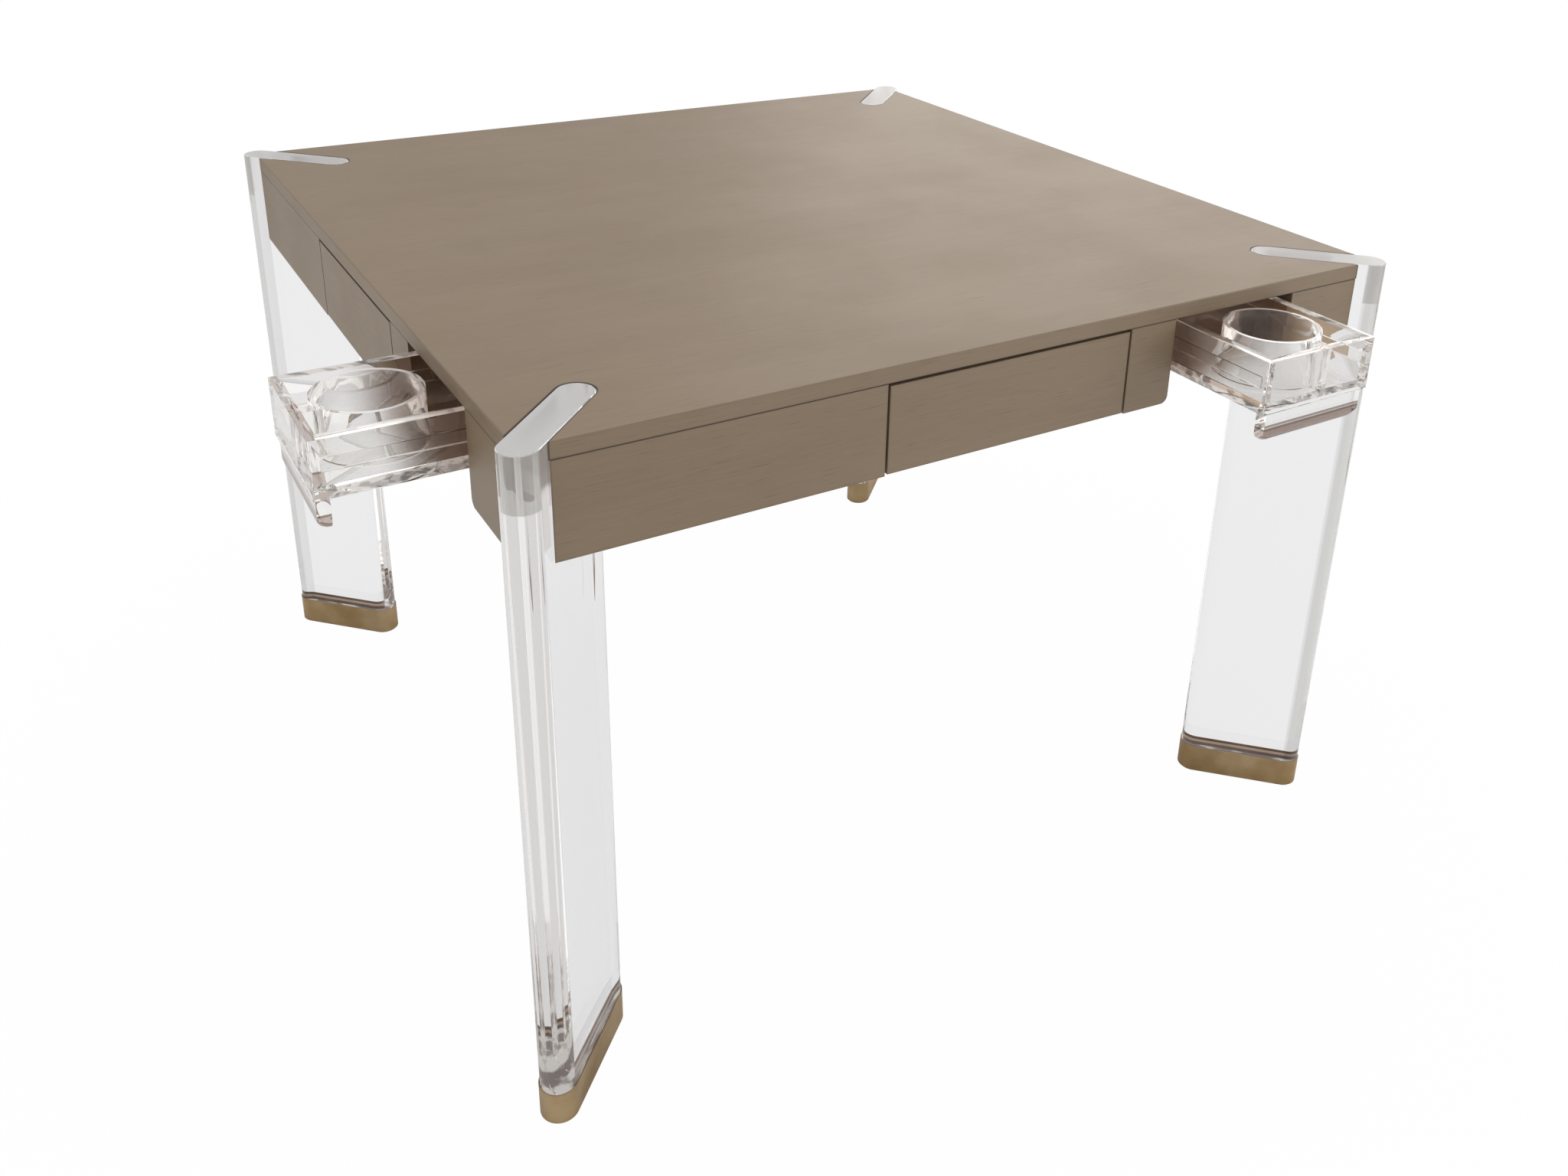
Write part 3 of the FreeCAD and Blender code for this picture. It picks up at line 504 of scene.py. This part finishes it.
def veneer(name, box, shift):
    """Satin lacquered straight-grained veneer in a grey taupe stain."""
    material, tree, shader, seen = new_material(name)
    spot, facing = seen["Object"], seen["Normal"]
    low, high = box
    figure = use_group(tree, grain, {"Place": spot, "Facing": facing, "Shift": shift})
    rub = use_group(tree, edge_rub, {
        "Place": spot, "Middle": (low + high) / 2, "Half": (high - low) / 2,
        "Width": RUB_WIDTH,
    })["Rub"]
    marks = use_group(tree, handling, {"Place": spot, "Size": 0.16})
    cloud = ramp(tree, drawn_noise(tree, spot, GRAIN_CLOUD, detail=2.0), 0.3, 0.7)
    tone = weighed(
        tree, (figure["Band"], VENEER_BAND), (figure["Fibre"], VENEER_FIBRE),
        (cloud, VENEER_CLOUD),
    )
    colour = tint(tree, tone, VENEER_MID, VENEER_PALE)
    colour = stain(tree, figure["Pore"], 0.36, colour, VENEER_DARK)
    colour = stain(tree, rub, 0.22, colour, VENEER_DARK)
    # Painted shade and stain: the joint under the top and a line round each leg's slot are
    # darkened, partly by stain gathered there and partly as the shade of the gap.
    joint = use_group(tree, joint_line, {
        "Place": spot, "Height": JOINT_HEIGHT, "Width": JOINT_WIDTH,
    })["Line"]
    slot = ramp(tree, from_leg(tree, spot), *SLOT_LINE_FADE, 1.0, 0.0)
    joint = calc(tree, "MAXIMUM", joint, slot)
    lined = stain(tree, joint, 0.85, colour, JOINT_STAIN_AND_SHADE)
    tree.links.new(lined, shader.inputs["Base Color"])
    wood_glow(material, tree, shader, colour, spot)
    rough = roughened(tree, 0.47, marks["Smear"], 0.06)
    rough = calc(tree, "SUBTRACT", rough, calc(tree, "MULTIPLY", rub, 0.08))
    tree.links.new(rough, shader.inputs["Roughness"])
    shader.inputs["Coat Weight"].default_value = 0.12
    shader.inputs["Coat Roughness"].default_value = 0.35
    height = calc(tree, "SUBTRACT", figure["Fibre"], figure["Pore"])
    bump(tree, shader, height, distance=0.00005, strength=0.5)
    return material


def plain_wood(name, dark, pale, rough):
    """Stained solid wood for the parts that are seldom seen, with an open grain."""
    material, tree, shader, seen = new_material(name)
    spot, facing = seen["Object"], seen["Normal"]
    figure = use_group(tree, grain, {"Place": spot, "Facing": facing, "Shift": WOOD_SHIFT})
    marks = use_group(tree, handling, {"Place": spot, "Size": 0.08})
    tone = weighed(tree, (figure["Band"], WOOD_BAND), (figure["Fibre"], WOOD_FIBRE))
    colour = tint(tree, tone, dark, pale)
    colour = stain(tree, figure["Pore"], 0.5, colour, dark)
    tree.links.new(colour, shader.inputs["Base Color"])
    wood_glow(material, tree, shader, colour, spot)
    rough = roughened(tree, rough, marks["Smear"], 0.12)
    tree.links.new(rough, shader.inputs["Roughness"])
    height = calc(tree, "SUBTRACT", figure["Fibre"], figure["Pore"])
    bump(tree, shader, height, distance=0.00012, strength=0.6)
    return material


def leg_end(tree, spot):
    """1 on the round outer end of a leg, and 1 on its top part, where the painted shade and
    reflection of the wood inside the table go. That part is fainter at the right edge of the
    end."""
    end = ramp(tree, from_leg(tree, spot, "Along"), *END_FADE)
    high = ramp(tree, parts(tree, spot)[2], *DUSK_FADE)
    edge = ramp(tree, from_leg(tree, spot, "Across"), *END_EDGE_FADE, 0.25, 1.0)
    return end, calc(tree, "MULTIPLY", calc(tree, "MULTIPLY", end, high), edge)


def leg_tone(tree, spot):
    """The tint of a leg, with painted shade: greyer on its round outer end and dusky on the
    top part of it.
    """
    end, dusk = leg_end(tree, spot)
    return tint(tree, dusk, tint(tree, end, CLEAR_LEG, CLEAR_END_SHADED), END_PAINTED_DUSK)


def leg_glow(tree, spot):
    """The light of trapped rays in a leg: pale, greyer beside the apron, and streaked with
    the cap's brown at the foot."""
    height = parts(tree, spot)[2]
    colour = tint(tree, ramp(tree, height, *APRON_FADE), GLOW_PALE, GLOW_APRON)
    streak = drawn_noise(tree, spot, FOOT_STREAK, rough=0.6)
    foot = tint(tree, ramp(tree, streak, 0.42, 0.62), GLOW_FOOT, GLOW_PALE)
    low = ramp(tree, height, *FOOT_FADE, 1.0, 0.0)
    return tint(tree, low, colour, foot)


def tray_glow(tree, spot):
    """The light of trapped rays in a tray: pale, with dark patches of the wood around."""
    patch = drawn_noise(tree, spot, TRAY_PATCH, detail=2.0)
    return tint(tree, ramp(tree, patch, 0.42, 0.52), GLOW_TRAY_DEEP, GLOW_TRAY_PALE)


def tray_tone(tree, spot, face):
    """The tint of a tray: clear, with a painted reflection of the brown wood of its opening
    further in from its front, and a brown grip band with a dark line above it at the foot of
    the finger lip."""
    away = vector_calc(tree, "SUBTRACT", spot, table_middle())
    reach = parts(tree, vector_calc(tree, "ABSOLUTE", away))
    deep = calc(tree, "SUBTRACT", face, calc(tree, "MAXIMUM", reach[0], reach[1]))
    height = parts(tree, spot)[2]
    # Painted reflection of the opening's wood, stronger further in from the front.
    colour = tint(tree, ramp(tree, deep, *TRAY_BROWN_FADE), CLEAR_TRAY, PAINTED_WOOD_REFLECTION)
    below = ramp(tree, height, *LIP_LINE_FADE, 1.0, 0.0)
    band = ramp(tree, height, *LIP_BAND_FADE, 1.0, 0.0)
    return tint(tree, band, tint(tree, below, colour, LIP_LINE), LIP_BAND)


def clear_acrylic(name, tone, dull, through, glow, painted_end=False):
    """Clear acrylic with the faintest smears and waves, polished or dull and clouded, and the
    light of its trapped rays. Its tone is a colour or a function that makes one. A painted
    veil is a grey glow that stands for the mirror image in a leg's round end."""
    material, tree, shader, seen = new_material(name)
    spot = seen["Object"]
    marks = use_group(tree, handling, {"Place": spot, "Size": 0.05})
    wave = drawn_noise(tree, spot, CAST_WAVE, detail=1.0)
    feed(tree, shader, {
        "Base Color": tone(tree, spot) if callable(tone) else tone,
        "IOR": ACRYLIC_BEND,
        "Transmission Weight": through,
        "Roughness": roughened(tree, dull, marks["Smear"], 0.02),
    })
    bump(tree, shader, wave, distance=0.0004, strength=0.3)
    light, share = glow(tree, spot), 0.0
    # A painted reflection: a grey streaked glow on the top part of a leg's round end.
    if painted_end:
        share = leg_end(tree, spot)[1]
        streak = drawn_noise(tree, spot, VEIL_STREAK, detail=2.0)
        end_reflection = tint(tree, ramp(tree, streak, 0.3, 0.7, 0.0, 0.35), END_PAINTED_VEIL, GLOW_APRON)
        light = tint(tree, share, light, end_reflection)
    add_glow(material, tree, shader, light, share)
    return material


def satin_bronze():
    """Brushed champagne bronze, with fine level brush lines and warmer patches. Within the
    caps it is darker, as painted shade, and has a painted glow that stands for the leg's
    light, in swirls, with painted dark and tan bands below the rim."""
    material, tree, shader, seen = new_material("satin_bronze")
    spot = seen["Object"]
    marks = use_group(tree, handling, {"Place": spot, "Size": 0.05})
    brush = drawn_noise(tree, spot, BRUSH_LINE, detail=4.0, rough=0.6)
    patch = ramp(tree, noise(tree, spot, BRONZE_PATCH), 0.3, 0.7)
    colour = tint(tree, patch, BRONZE_DEEP, BRONZE_PALE)
    colour = stain(tree, marks["Speck"], 0.25, colour, BRONZE_DEEP)
    # Inside the cap the bronze is darker, as painted shade.
    within = calc(tree, "LESS_THAN", from_leg(tree, spot), CAP_WITHIN)
    rough = ramp(tree, brush, 0.2, 0.8, 0.30, 0.46)
    feed(tree, shader, {
        "Base Color": tint(tree, within, colour, CAP_WALL_SHADED),
        "Metallic": 1.0,
        "Roughness": roughened(tree, rough, marks["Smear"], 0.06),
    })
    bump(tree, shader, brush, distance=0.00004, strength=0.5)
    # A painted glow inside the cap, in swirls, with painted dark and tan bands below the rim.
    swirl = ramp(tree, drawn_noise(tree, spot, CAP_SWIRL), 0.47, 0.60)
    inside = tint(tree, swirl, CAP_INSIDE_DEEP, CAP_INSIDE_PALE)
    height = parts(tree, spot)[2]
    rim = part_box("foot_cap_front_left")[1].z
    for low, high, band in CAP_BANDS:
        inside = tint(tree, ramp(tree, height, rim - low, rim - high), inside, band)
    light = tint(tree, within, GLOW_BRONZE, inside)
    above = calc(tree, "GREATER_THAN", height, CAP_FLOOR)
    add_glow(material, tree, shader, light, calc(tree, "MULTIPLY", within, above))
    return material


def screw_steel():
    """Turned steel with fine rings and a few dull spots."""
    material, tree, shader, seen = new_material("screw_steel")
    spot = seen["Object"]
    marks = use_group(tree, handling, {"Place": spot, "Size": 0.006})
    turning = drawn_noise(tree, spot, TURNED_RING, detail=2.0)
    feed(tree, shader, {
        "Base Color": tint(tree, marks["Smear"], STEEL_DEEP, STEEL_PALE),
        "Metallic": 1.0,
        "Roughness": ramp(tree, turning, 0.2, 0.8, 0.28, 0.45),
    })
    bump(tree, shader, turning, distance=0.00003, strength=0.5)
    return material


def glide_pad():
    """A dense dark felt-like pad with a fine pile."""
    material, tree, shader, seen = new_material("glide_pad")
    spot = seen["Object"]
    pile = noise(tree, spot, PAD_PILE, rough=0.7)
    worn = noise(tree, spot, PAD_WEAR)
    colour = tint(tree, ramp(tree, pile, 0.3, 0.7), PAD_DARK, PAD_PALE)
    feed(tree, shader, {
        "Base Color": tint(tree, ramp(tree, worn, 0.5, 0.8, 0.0, 0.4), colour, PAD_PALE),
        "Roughness": ramp(tree, worn, 0.3, 0.8, 0.95, 0.80),
    })
    bump(tree, shader, pile, distance=0.0002, strength=0.6)
    return material


def finish_node(name, material):
    """Puts a material in every slot of a node of the solid model."""
    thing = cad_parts[name]
    if not thing.material_slots:
        thing.data.materials.append(material)
    for holder in thing.material_slots:
        holder.material = material


def new_piece(name, mesh, material, body, nodes):
    """A finished piece of the visual model that stands for some nodes and rides a body."""
    mesh.materials.clear()
    mesh.materials.append(material)
    piece = bpy.data.objects.new(name, mesh)
    bpy.context.scene.collection.objects.link(piece)
    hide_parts(*nodes)
    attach(piece, body)


def shade(mesh):
    """Smooth shading, kept crisp where faces meet at more than a small angle."""
    mesh.shade_smooth()
    mesh.set_sharp_from_angle(angle=CREASE)


def loft(name, points, count):
    """A mesh lofted through rings of as many points each. Its first face closes the first
    ring, its second face the last one, and the walls follow ring by ring."""
    step = np.arange(count)
    after = (step + 1) % count
    last = len(points) - count
    faces = [tuple(step[::-1]), tuple(step + last)]
    for base in range(0, last, count):
        walls = np.stack(
            (base + step, base + after, base + count + after, base + count + step), axis=1
        )
        faces.extend(map(tuple, walls))
    mesh = bpy.data.meshes.new(name)
    mesh.from_pydata(points, [], [tuple(map(int, face)) for face in faces])
    return mesh


def make_leg(corner, polished, satin):
    """A slab whose outline is two half circles joined by straight sides, lofted upwards.
    Each ring of points is the outline drawn in by a small edge at the foot and the top.
    The end grain of the cast slab, flush with the table's top, is satin."""
    low, high = (np.array(end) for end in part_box(f"leg_{corner}"))
    out = np.array([1 if "right" in corner else -1, 1 if "back" in corner else -1])
    outer = np.where(out > 0, high[:2], low[:2]) - out * LEG_HALF
    inner = np.where(out > 0, low[:2], high[:2]) + out * LEG_HALF
    start = math.atan2(out[1], out[0]) - math.pi / 2
    half = np.linspace(0.0, math.pi, LEG_ARC_POINTS)
    turn = np.concatenate((start + half, start + math.pi + half))
    middle = np.repeat([outer, inner], len(half), axis=0)
    ways = np.stack((np.cos(turn), np.sin(turn)), axis=1)
    rings = []
    for height, draw_in in (
        (low[2], LEG_EDGE), (low[2] + LEG_EDGE, 0.0), (high[2] - LEG_EDGE, 0.0),
        (high[2], LEG_EDGE),
    ):
        ring = middle + ways * (LEG_HALF - draw_in)
        rings.append(np.column_stack((ring, np.full(len(ring), height))))
    mesh = loft(f"leg_slab_{corner}", np.concatenate(rings), len(turn))
    shade(mesh)
    new_piece(
        f"leg_slab_{corner}", mesh, polished, "table", [f"leg_{corner}"]
    )
    mesh.materials.append(satin)
    mesh.polygons[1].material_index = 1


def copy_solids(name):
    """The solids of a node as one merged mesh in the frame's coordinates."""
    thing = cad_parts[name]
    solids = bmesh.new()
    solids.from_mesh(thing.data)
    solids.transform(thing.matrix_world)
    bmesh.ops.remove_doubles(solids, verts=solids.verts, dist=MERGE)
    return solids


def make_lip(side):
    """The finger lip: an upright plate whose lower front edge is a quarter round. It is
    lofted from front to back. Each ring is a rectangle with rounded lower corners, and
    its bottom falls along the quarter circle as the rings go back."""
    low, high = (np.array(end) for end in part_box(f"tray_lip_{side}"))
    turn = SIDES.index(side) * math.pi / 2
    size = high - low
    if side in ("right", "left"):
        size = size[[1, 0, 2]]
    half, deep, tall = size[0] / 2, size[1], size[2]
    swing = np.linspace(0.0, math.pi / 2, LIP_ARC_POINTS)
    back = LIP_CORNER * (1 - np.cos(swing))
    drop = LIP_CORNER * (1 - np.sin(swing))
    arc_out = half - LIP_CORNER + LIP_CORNER * np.cos(swing)
    across = np.concatenate((arc_out, -arc_out[::-1], [-half, half]))
    rings = []
    for depth, lift in list(zip(back, drop)) + [(deep, 0.0)]:
        arc_up = LIP_CORNER - (LIP_CORNER - lift) * np.sin(swing)
        up = np.concatenate((arc_up, arc_up[::-1], [tall, tall]))
        rings.append(np.column_stack((across, np.full(len(up), depth), up)))
    points = np.concatenate(rings)
    points[:, 1] -= deep / 2
    turned = np.array([[math.cos(turn), -math.sin(turn)], [math.sin(turn), math.cos(turn)]])
    points[:, :2] = points[:, :2] @ turned.T + (low[:2] + high[:2]) / 2
    points[:, 2] += low[2]
    solids = bmesh.new()
    solids.from_mesh(loft(f"lip_{side}", points, len(across)))
    bmesh.ops.remove_doubles(solids, verts=solids.verts, dist=MERGE)
    bmesh.ops.recalc_face_normals(solids, faces=solids.faces)
    return solids


def one_solid(name, first, rest):
    """Joins touching solids into one body with nothing left between them."""
    made = []
    for suffix, solids in (("first", first), ("rest", rest)):
        mesh = bpy.data.meshes.new(f"{name}_{suffix}")
        solids.to_mesh(mesh)
        solids.free()
        thing = bpy.data.objects.new(f"{name}_{suffix}", mesh)
        bpy.context.scene.collection.objects.link(thing)
        made.append(thing)
    join = made[0].modifiers.new("join", "BOOLEAN")
    join.operation = "UNION"
    join.solver = "EXACT"
    join.use_self = True
    join.object = made[1]
    ready = made[0].evaluated_get(bpy.context.evaluated_depsgraph_get())
    mesh = bpy.data.meshes.new_from_object(ready)
    for thing in made:
        bpy.data.objects.remove(thing)
    return mesh


def polish_edges(mesh):
    """Takes the seams out of a body's flat faces, and rounds its outer edges a little."""
    body = bmesh.new()
    body.from_mesh(mesh)
    bmesh.ops.dissolve_limit(
        body, angle_limit=FLAT, verts=body.verts, edges=body.edges
    )
    edges = [
        edge for edge in body.edges
        if len(edge.link_faces) == 2 and edge.is_convex
        and edge.calc_face_angle(0.0) > SHARP
    ]
    bmesh.ops.bevel(
        body, geom=edges, offset=TRAY_EDGE, segments=2, profile=0.5, affect="EDGES",
        clamp_overlap=True,
    )
    body.to_mesh(mesh)
    body.free()


def make_tray(side):
    """One clear tray: its plates, cup ring, web and lip bonded into a single body, with
    small polished edges on every outer corner."""
    middle = table_middle()
    ends = [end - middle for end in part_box(f"tray_front_{side}")]
    face = max(abs(end[axis]) for end in ends for axis in (0, 1))
    material = clear_acrylic(
        f"clear_tray_{side}", lambda tree, spot: tray_tone(tree, spot, face), dull=0.0,
        through=1.0, glow=tray_glow,
    )
    names = [f"{part}_{side}" for part in ("tray_front", "tray_box", "tray_ring", "tray_lip")]
    first = copy_solids(names[0])
    rest = bmesh.new()
    for name in names[1:]:
        solids = make_lip(side) if name.startswith("tray_lip") else copy_solids(name)
        passing = bpy.data.meshes.new("passing")
        solids.to_mesh(passing)
        solids.free()
        rest.from_mesh(passing)
    mesh = one_solid(f"tray_{side}_clear", first, rest)
    polish_edges(mesh)
    shade(mesh)
    new_piece(f"tray_{side}_clear", mesh, material, f"tray_{side}", names)


def finish_all():
    """Gives every node its material."""
    finish_node("tabletop", veneer("top_veneer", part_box("tabletop"), 0.0))
    shift = 0.0
    for side in SIDES:
        for panel in PANELS:
            shift += GRAIN_STEP
            name = f"{panel}_{side}"
            finish_node(name, veneer(f"{name}_veneer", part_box(name), shift))
    stained = plain_wood("stained_wood", STAIN_DARK, STAIN_PALE, rough=0.50)
    box_wood = plain_wood("drawer_wood", BOX_DARK, BOX_PALE, rough=0.42)
    clear_leg = clear_acrylic(
        "clear_leg", leg_tone, dull=0.0, through=1.0, glow=leg_glow, painted_end=True
    )
    clear_top = clear_acrylic("clear_top", CLEAR_TOP, dull=0.42, through=0.45, glow=leg_glow)
    bronze = satin_bronze()
    for side in SIDES:
        finish_node(f"drawer_guides_{side}", stained)
        finish_node(f"tray_guides_{side}", stained)
        finish_node(f"drawer_box_{side}", box_wood)
        make_tray(side)
    for corner in CORNERS:
        make_leg(corner, clear_leg, clear_top)
        finish_node(f"leg_blocks_{corner}", stained)
        finish_node(f"foot_cap_{corner}", bronze)
    finish_node("centre_frame", stained)
    finish_node("leg_block_screws", screw_steel())
    finish_node("floor_glides", glide_pad())


def white_to_the_eye(tree):
    """1 for rays from the camera, or from it by way of clear plastic, and the white that
    they see, which is dimmer for rays that were mirrored inside the plastic."""
    path = tree.nodes.new("ShaderNodeLightPath").outputs
    mirrored = calc(tree, "GREATER_THAN", path["Glossy Depth"], ONE_STEP)
    seen = calc(tree, "MAXIMUM", path["Is Camera Ray"], path["Is Transmission Ray"])
    return seen, tint(tree, mirrored, WHITE, BOUNCED_WHITE)


def make_floor():
    """A wide pale floor that shows white, and keeps a part of the table's shadow."""
    mesh = bpy.data.meshes.new("floor")
    corners = [(-1, -1, 0), (1, -1, 0), (1, 1, 0), (-1, 1, 0)]
    mesh.from_pydata([FLOOR_HALF * Vector(corner) for corner in corners], [], [(0, 1, 2, 3)])
    floor = bpy.data.objects.new("floor", mesh)
    bpy.context.scene.collection.objects.link(floor)
    material = bpy.data.materials.new("pale_floor")
    material.use_nodes = True
    tree = material.node_tree
    tree.nodes.remove(tree.nodes["Principled BSDF"])
    matt = place(tree, "ShaderNodeBsdfDiffuse", {"Color": FLOOR_MATT})
    seen, colour = white_to_the_eye(tree)
    white = place(tree, "ShaderNodeEmission", {"Color": colour, "Strength": 1.0})
    spot = tree.nodes.new("ShaderNodeTexCoord").outputs["Object"]
    away = place(tree, "ShaderNodeVectorMath", {0: spot}, operation="LENGTH").outputs[1]
    whiten = ramp(tree, away, *SHADOW_FADE, SHADOW_WHITE, 1.0)
    share = calc(tree, "MULTIPLY", seen, whiten)
    both = place(
        tree, "ShaderNodeMixShader", {0: share, 1: matt.outputs[0], 2: white.outputs[0]}
    )
    tree.links.new(both.outputs[0], tree.nodes["Material Output"].inputs["Surface"])
    mesh.materials.append(material)


def make_world():
    """Even pale light from all round, white to the eye."""
    world = bpy.data.worlds.new("studio")
    bpy.context.scene.world = world
    world.use_nodes = True
    tree = world.node_tree
    seen, colour = white_to_the_eye(tree)
    feed(tree, tree.nodes["Background"], {
        "Color": tint(tree, seen, WHITE, colour),
        "Strength": ramp(tree, seen, 0.0, 1.0, ROOM_LIGHT, 1.0),
    })


def soft_lamp(name, spot, aim, size, power, colour):
    """A large square lamp turned to a point."""
    data = bpy.data.lights.new(name, "AREA")
    data.shape = "RECTANGLE"
    data.size, data.size_y = size
    data.energy = power
    data.color = colour
    lamp = bpy.data.objects.new(name, data)
    bpy.context.scene.collection.objects.link(lamp)
    lamp.location = spot
    away = Vector(spot) - Vector(aim)
    lamp.rotation_euler = away.to_track_quat("Z", "Y").to_euler()
    lamp.visible_transmission = False


def make_camera():
    """The camera at the picture's place, with its turn, height, roll and lens."""
    turn, height = math.radians(CAMERA_TURN), math.radians(CAMERA_HEIGHT)
    roll = math.radians(CAMERA_ROLL)
    back = Vector((
        math.sin(turn) * math.cos(height),
        -math.cos(turn) * math.cos(height),
        math.sin(height),
    ))
    level = Vector((0, 0, 1)).cross(back).normalized()
    upright = back.cross(level)
    right = math.cos(roll) * level + math.sin(roll) * upright
    up = -math.sin(roll) * level + math.cos(roll) * upright
    data = bpy.data.cameras.new("camera")
    data.sensor_width = SENSOR
    data.lens = LENS_PIXELS * SENSOR / PICTURE[0]
    data.shift_x = (PICTURE[0] / 2 - LENS_CENTRE[0]) / PICTURE[0]
    data.shift_y = (LENS_CENTRE[1] - PICTURE[1] / 2) / PICTURE[0]
    data.clip_start, data.clip_end = CAMERA_REACH
    camera = bpy.data.objects.new("camera", data)
    bpy.context.scene.collection.objects.link(camera)
    camera.matrix_world = Matrix((
        (right.x, up.x, back.x, CAMERA_PLACE[0]),
        (right.y, up.y, back.y, CAMERA_PLACE[1]),
        (right.z, up.z, back.z, CAMERA_PLACE[2]),
        (0, 0, 0, 1),
    ))
    bpy.context.scene.camera = camera


make_camera()
make_world()
for lamp in LAMPS:
    soft_lamp(*lamp)
make_floor()
finish_all()
bpy.context.scene.view_settings.view_transform = "Standard"
